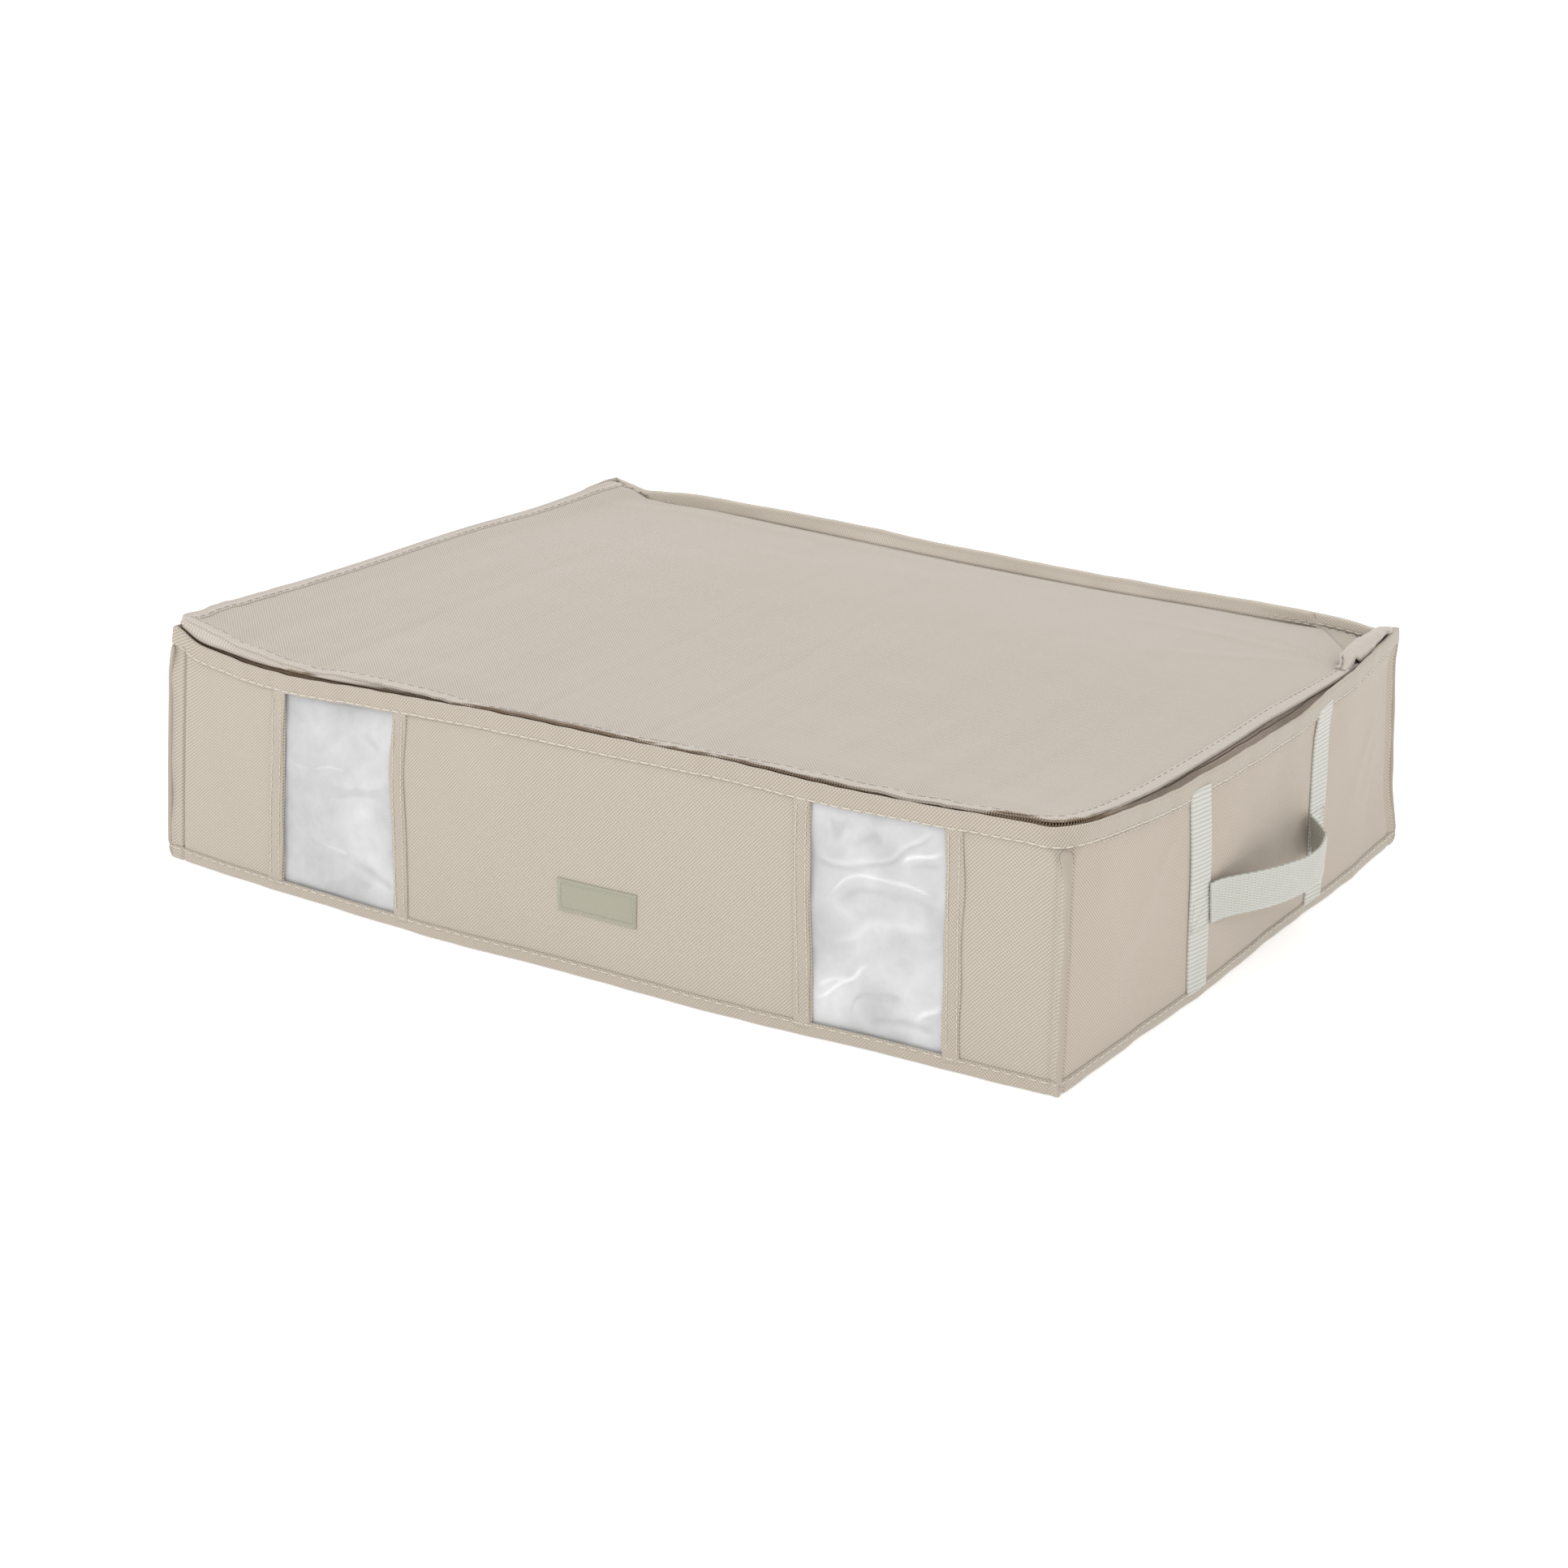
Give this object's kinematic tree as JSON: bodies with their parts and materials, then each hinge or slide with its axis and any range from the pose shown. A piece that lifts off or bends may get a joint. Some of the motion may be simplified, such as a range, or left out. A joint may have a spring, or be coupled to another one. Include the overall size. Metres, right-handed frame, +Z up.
{
  "type": "under bed storage box",
  "caption": "Low soft-sided fabric storage box with a zipped flap lid, clear front windows, side carrying handles and an inner vacuum bag.",
  "frame": {"origin": "on the floor, midway between the corner seams left to right and front to back", "axes": "+X to the right along the front, +Y to the back where the lid is hinged, +Z up"},
  "size_m": [0.7264, 0.5214, 0.1658],
  "materials": {
    "cloth": "coated polyester cloth, warm sand beige, coarse basket weave",
    "binding": "folded binding cloth, the same sand beige, topstitched",
    "webbing": "ribbed webbing, pale grey-green",
    "window_film": "clear soft film, glossy",
    "bag_film": "clear polyethylene and nylon film, glossy",
    "zip_tape": "woven tape, dark brown",
    "zip_coil": "moulded coil, bronze brown",
    "zip_metal": "cast slider, aged bronze finish",
    "label": "soft patch, grey-green, blank",
    "bag_plastic": "moulded plastic, milky white"
  },
  "bodies": {
    "case": {"base_panel": "cloth", "base_seam_band": "binding", "front_left_panel": "cloth", "front_centre_panel": "cloth", "front_right_panel": "cloth", "left_window_film": "window_film", "right_window_film": "window_film", "left_window_outer_tape": "binding", "left_window_inner_tape": "binding", "right_window_inner_tape": "binding", "right_window_outer_tape": "binding", "left_panel": "cloth", "right_panel": "cloth", "back_panel": "cloth", "rim_band": "binding", "back_rim_band": "binding", "corner_seam_front_left": "binding", "corner_seam_front_right": "binding", "corner_seam_back_left": "binding", "corner_seam_back_right": "binding", "label_patch": "label", "right_front_strap": "webbing", "right_back_strap": "webbing", "left_front_strap": "webbing", "left_back_strap": "webbing", "zip_case_tape": "zip_tape", "zip_case_coil": "zip_coil", "zip_stop_left": "zip_metal", "zip_stop_right": "zip_metal", "zip_tab_left": "binding", "zip_tab_right": "binding", "vacuum_bag": "bag_film", "bag_seal_front": "bag_plastic", "bag_seal_back": "bag_plastic", "valve_body": "bag_plastic"},
    "lid": {"lid_panel": "cloth", "lid_edge_band": "binding", "lid_hinge_band": "binding", "zip_lid_tape": "zip_tape", "zip_lid_coil": "zip_coil"},
    "slider": {"zip_slider": "zip_metal"},
    "puller": {"zip_puller": "zip_metal"},
    "right_handle": {"right_handle": "webbing"},
    "left_handle": {"left_handle": "webbing"},
    "clip": {"bag_clip": "bag_plastic"},
    "cap": {"valve_cap": "bag_plastic"}
  },
  "joints": [
    {"name": "lid_hinge", "type": "hinge", "parent": "case", "child": "lid", "pos_m": [0, 0.25, 0.156], "axis": [-1, 0, 0], "range_deg": [0, 197]},
    {"name": "zip_slide", "type": "slide", "parent": "case", "child": "slider", "axis": [0, -1, 0], "range_m": [0, 0.39]},
    {"name": "puller_hinge", "type": "hinge", "parent": "slider", "child": "puller", "pos_m": [0.314, 0.188, 0.15425], "axis": [-1, 0, 0], "range_deg": [0, 177]},
    {"name": "right_handle_lift", "type": "hinge", "parent": "case", "child": "right_handle", "pos_m": [0.33315, 0.006, 0.0761], "axis": [0, -1, 0], "range_deg": [0, 85]},
    {"name": "left_handle_lift", "type": "hinge", "parent": "case", "child": "left_handle", "pos_m": [-0.33315, 0.006, 0.0761], "axis": [0, 1, 0], "range_deg": [0, 85]},
    {"name": "bag_clip_slide", "type": "slide", "parent": "case", "child": "clip", "axis": [-1, 0, 0], "range_m": [0, 0.5]},
    {"name": "valve_cap_turn", "type": "hinge", "parent": "case", "child": "cap", "pos_m": [-0.19469, -0.25297, 0.017], "axis": [-0.0516, -0.9987, 0], "range_deg": [0, 90]}
  ]
}
